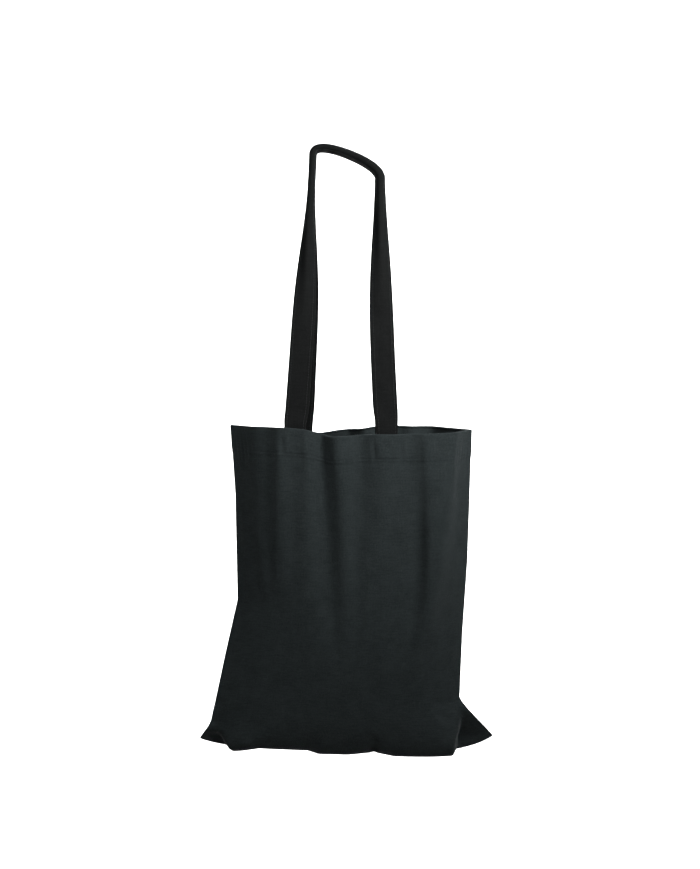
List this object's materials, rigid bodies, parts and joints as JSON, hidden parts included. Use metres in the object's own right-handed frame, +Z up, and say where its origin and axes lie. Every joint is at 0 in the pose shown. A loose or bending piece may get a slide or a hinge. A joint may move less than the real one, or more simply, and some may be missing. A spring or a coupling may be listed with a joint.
{
  "type": "tote bag",
  "caption": "Soft cotton tote bag with a turned hem, two long webbing handles gathered at the grip, and an open body that narrows to flat seamed corners.",
  "frame": {"origin": "the grip: the underside of the two handles' crown, midway between the handles and between their legs", "axes": "+Z up along the hanging bag, +X along the mouth to the right as seen from the front, -Y towards the front panel"},
  "size_m": [0.37, 0.1072, 0.7337],
  "materials": {
    "cloth": "black plain-weave cotton, matt",
    "webbing": "black woven cotton webbing, matt",
    "thread": "black spun sewing thread"
  },
  "bodies": {
    "bag": {"front_panel": "cloth", "back_panel": "cloth", "front_hem": "cloth", "back_hem": "cloth", "front_hem_stitching": "thread", "back_hem_stitching": "thread", "left_seam_allowance": "cloth", "right_seam_allowance": "cloth", "bottom_seam_allowance": "cloth", "left_seam_overlock": "thread", "right_seam_overlock": "thread", "bottom_seam_overlock": "thread", "front_left_handle_end": "webbing", "front_right_handle_end": "webbing", "back_left_handle_end": "webbing", "back_right_handle_end": "webbing", "front_left_box_stitch": "thread", "front_right_box_stitch": "thread", "back_left_box_stitch": "thread", "back_right_box_stitch": "thread"},
    "front_handle": {"front_handle": "webbing", "front_handle_topstitching": "thread"},
    "back_handle": {"back_handle": "webbing", "back_handle_topstitching": "thread"}
  },
  "joints": [
    {"name": "front_handle_hinge", "type": "hinge", "parent": "bag", "child": "front_handle", "pos_m": [-0.007, -0.0529, -0.335], "axis": [1, 0, 0], "range_deg": [0, 178]},
    {"name": "back_handle_hinge", "type": "hinge", "parent": "bag", "child": "back_handle", "pos_m": [-0.007, 0.0529, -0.335], "axis": [-1, 0, 0], "range_deg": [0, 178]}
  ]
}
